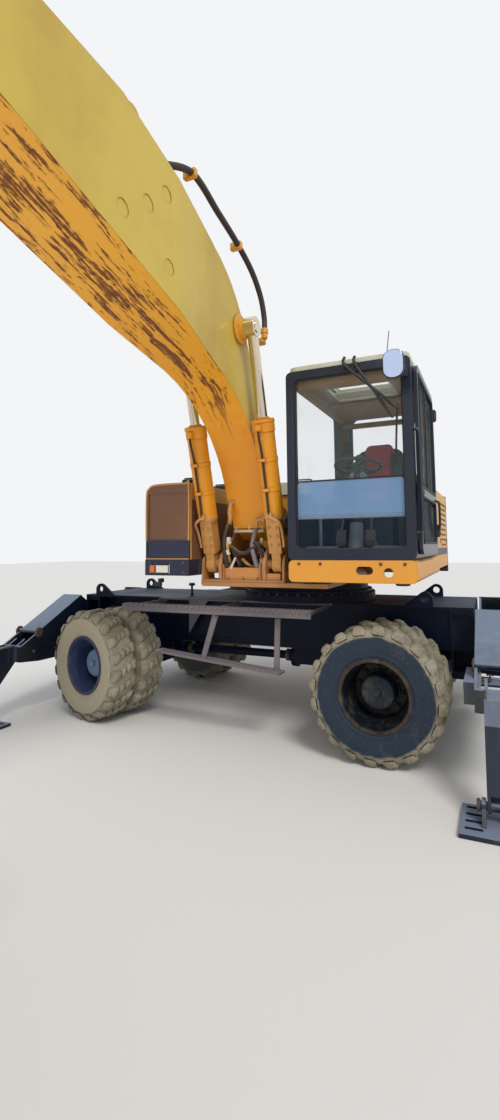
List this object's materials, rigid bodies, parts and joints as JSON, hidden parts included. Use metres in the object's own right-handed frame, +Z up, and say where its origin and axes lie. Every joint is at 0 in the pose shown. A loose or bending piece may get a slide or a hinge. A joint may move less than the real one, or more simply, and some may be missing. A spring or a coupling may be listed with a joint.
{
  "type": "wheeled excavator",
  "caption": "Wheeled excavator with twin tyres, outrigger legs, a slewing upper machine with hollow cab, and a one-piece boom with arm and bucket.",
  "frame": {"origin": "on the ground under the slewing axis", "axes": "+X forward along the chassis to the steered axle, +Y to the left of the chassis, where the boom points at rest, +Z up"},
  "size_m": [4.84, 8.3761, 4.5615],
  "materials": {
    "navy_paint": "worn semi-gloss, dusty",
    "yellow_paint": "worn semi-gloss with rust scrapes",
    "cream_paint": "faded",
    "rod_chrome": "polished",
    "worn_steel": "worn bare steel",
    "cast_engine": "rough",
    "tyre_rubber": "dusty",
    "hose_rubber": "matt",
    "window_glass": "clear",
    "seat_fabric": "worn",
    "dark_plastic": "matt"
  },
  "bodies": {
    "chassis": {"chassis_frame": "navy_paint", "slew_ring": "navy_paint", "front_axle": "navy_paint", "rear_axle": "navy_paint", "driveline": "navy_paint", "side_steps": "navy_paint"},
    "left_knuckle": {"left_knuckle": "navy_paint"},
    "right_knuckle": {"right_knuckle": "navy_paint"},
    "steering_rod": {"steering_rod": "worn_steel"},
    "front_left_wheels": {"front_left_tyres": "tyre_rubber", "front_left_rims": "navy_paint"},
    "front_right_wheels": {"front_right_tyres": "tyre_rubber", "front_right_rims": "navy_paint"},
    "rear_left_wheels": {"rear_left_tyres": "tyre_rubber", "rear_left_rims": "navy_paint"},
    "rear_right_wheels": {"rear_right_tyres": "tyre_rubber", "rear_right_rims": "navy_paint"},
    "front_left_leg": {"front_left_leg": "navy_paint"},
    "front_right_leg": {"front_right_leg": "navy_paint"},
    "rear_left_leg": {"rear_left_leg": "navy_paint"},
    "rear_right_leg": {"rear_right_leg": "navy_paint"},
    "upper": {"upper_frame": "yellow_paint", "counterweight": "navy_paint", "engine": "cast_engine", "exhaust": "worn_steel", "right_tank": "yellow_paint", "engine_housings": "navy_paint", "cab_shell": "navy_paint", "cab_roof": "cream_paint", "cab_glass": "window_glass", "seat": "seat_fabric", "cab_controls": "dark_plastic", "cab_mirror": "navy_paint", "front_lamps": "cream_paint", "valve_and_hoses": "cast_engine"},
    "hood": {"engine_hood": "yellow_paint"},
    "door": {"cab_door": "navy_paint", "door_glass": "window_glass"},
    "boom": {"boom": "yellow_paint", "boom_hoses": "hose_rubber"},
    "boom_barrels": {"boom_cylinder_barrels": "yellow_paint"},
    "boom_rods": {"boom_cylinder_rods": "rod_chrome"},
    "arm": {"arm": "yellow_paint"},
    "arm_barrel": {"arm_cylinder_barrel": "yellow_paint"},
    "arm_rod": {"arm_cylinder_rod": "rod_chrome"},
    "bucket_barrel": {"bucket_cylinder_barrel": "yellow_paint"},
    "bucket_rod": {"bucket_cylinder_rod": "rod_chrome"},
    "rocker": {"rocker": "yellow_paint"},
    "link": {"link": "yellow_paint"},
    "bucket": {"bucket": "worn_steel"}
  },
  "joints": [
    {"name": "steering", "type": "hinge", "parent": "chassis", "child": "left_knuckle", "pos_m": [1.775, 0.7, 0.525], "axis": [0, 0, 1], "range_deg": [-15.3, 44.7]},
    {"name": "right_steering", "type": "hinge", "parent": "chassis", "child": "right_knuckle", "pos_m": [1.775, -0.7, 0.525], "axis": [0, 0, 1], "range_deg": [-15.3, 44.7]},
    {"name": "steering_rod_travel", "type": "slide", "parent": "chassis", "child": "steering_rod", "axis": [0, 1, 0], "range_m": [-0.12306, 0.04694]},
    {"name": "front_left_spin", "type": "hinge", "parent": "left_knuckle", "child": "front_left_wheels", "pos_m": [1.775, 0.7, 0.525], "axis": [0.2538, 0.9673, 0], "continuous": true},
    {"name": "front_right_spin", "type": "hinge", "parent": "right_knuckle", "child": "front_right_wheels", "pos_m": [1.775, -0.7, 0.525], "axis": [0.2538, 0.9673, 0], "continuous": true},
    {"name": "rear_left_spin", "type": "hinge", "parent": "chassis", "child": "rear_left_wheels", "pos_m": [-0.905, 0.95, 0.525], "axis": [0, 1, 0], "continuous": true},
    {"name": "rear_right_spin", "type": "hinge", "parent": "chassis", "child": "rear_right_wheels", "pos_m": [-0.905, -0.95, 0.525], "axis": [0, 1, 0], "continuous": true},
    {"name": "front_left_leg_lift", "type": "hinge", "parent": "chassis", "child": "front_left_leg", "pos_m": [2.66, 0.38, 0.68], "axis": [1, 0, 0], "range_deg": [0, 28]},
    {"name": "front_right_leg_lift", "type": "hinge", "parent": "chassis", "child": "front_right_leg", "pos_m": [2.66, -0.38, 0.68], "axis": [-1, 0, 0], "range_deg": [0, 28]},
    {"name": "rear_left_leg_lift", "type": "hinge", "parent": "chassis", "child": "rear_left_leg", "pos_m": [-1.74, 0.38, 0.68], "axis": [1, 0, 0], "range_deg": [0, 28]},
    {"name": "rear_right_leg_lift", "type": "hinge", "parent": "chassis", "child": "rear_right_leg", "pos_m": [-1.74, -0.38, 0.68], "axis": [-1, 0, 0], "range_deg": [0, 28]},
    {"name": "slew", "type": "hinge", "parent": "chassis", "child": "upper", "pos_m": [0, 0, 1.3], "axis": [0, 0, 1], "continuous": true},
    {"name": "hood_lift", "type": "hinge", "parent": "upper", "child": "hood", "pos_m": [0, -1.94, 2.3], "axis": [1, 0, 0], "range_deg": [0, 60]},
    {"name": "door_swing", "type": "hinge", "parent": "upper", "child": "door", "pos_m": [-1.294, -0.03, 2.3], "axis": [0, 0, 1], "range_deg": [0, 160]},
    {"name": "boom_lift", "type": "hinge", "parent": "upper", "child": "boom", "pos_m": [0.305, 0.5, 1.88], "axis": [1, 0, 0], "range_deg": [-45, 30]},
    {"name": "boom_barrel_swing", "type": "hinge", "parent": "upper", "child": "boom_barrels", "pos_m": [0.305, 0.9, 1.5], "axis": [1, 0, 0], "range_deg": [-41.15, 27.6]},
    {"name": "boom_rod_travel", "type": "slide", "parent": "boom_barrels", "child": "boom_rods", "axis": [0, 0.2689, 0.9632], "range_m": [-0.39499, 0.26332]},
    {"name": "arm_swing", "type": "hinge", "parent": "boom", "child": "arm", "pos_m": [0.305, 5, 4], "axis": [1, 0, 0], "range_deg": [-45, 55]},
    {"name": "arm_barrel_swing", "type": "hinge", "parent": "boom", "child": "arm_barrel", "pos_m": [0.305, 2.75, 4.43], "axis": [1, 0, 0], "range_deg": [-1.4, 1.6]},
    {"name": "arm_rod_travel", "type": "slide", "parent": "arm_barrel", "child": "arm_rod", "axis": [0, 0.9998, 0.0183], "range_m": [-0.41376, 0.33944]},
    {"name": "bucket_swing", "type": "hinge", "parent": "arm", "child": "bucket", "pos_m": [0.305, 5.64705, 1.58519], "axis": [1, 0, 0], "range_deg": [-12, 110]},
    {"name": "rocker_swing", "type": "hinge", "parent": "arm", "child": "rocker", "pos_m": [0.305, 5.59501, 2.01123], "axis": [1, 0, 0], "range_deg": [-12.5, 110.5]},
    {"name": "link_swing", "type": "hinge", "parent": "rocker", "child": "link", "pos_m": [0.305, 5.89906, 1.70718], "axis": [1, 0, 0], "range_deg": [-110.5, 12.5]},
    {"name": "bucket_barrel_swing", "type": "hinge", "parent": "arm", "child": "bucket_barrel", "pos_m": [0.305, 5.57974, 4.00005], "axis": [1, 0, 0], "range_deg": [-0.86, 3.84]},
    {"name": "bucket_rod_travel", "type": "slide", "parent": "bucket_barrel", "child": "bucket_rod", "axis": [0, 0.1379, -0.9904], "range_m": [-0.71429, 0.08238]}
  ],
  "couplings": [
    {"joint": "right_steering", "follows": "steering", "ratio": 1},
    {"joint": "steering_rod_travel", "follows": "steering", "m_per_rad": -0.14324},
    {"joint": "boom_barrel_swing", "follows": "boom_lift", "ratio": 0.90331},
    {"joint": "boom_rod_travel", "follows": "boom_lift", "m_per_rad": 0.49305},
    {"joint": "arm_barrel_swing", "follows": "arm_swing", "ratio": 0.02009},
    {"joint": "arm_rod_travel", "follows": "arm_swing", "m_per_rad": -0.42582},
    {"joint": "rocker_swing", "follows": "bucket_swing", "ratio": 1},
    {"joint": "link_swing", "follows": "bucket_swing", "ratio": -1},
    {"joint": "bucket_barrel_swing", "follows": "bucket_swing", "ratio": 0.03032},
    {"joint": "bucket_rod_travel", "follows": "bucket_swing", "m_per_rad": -0.36945}
  ]
}
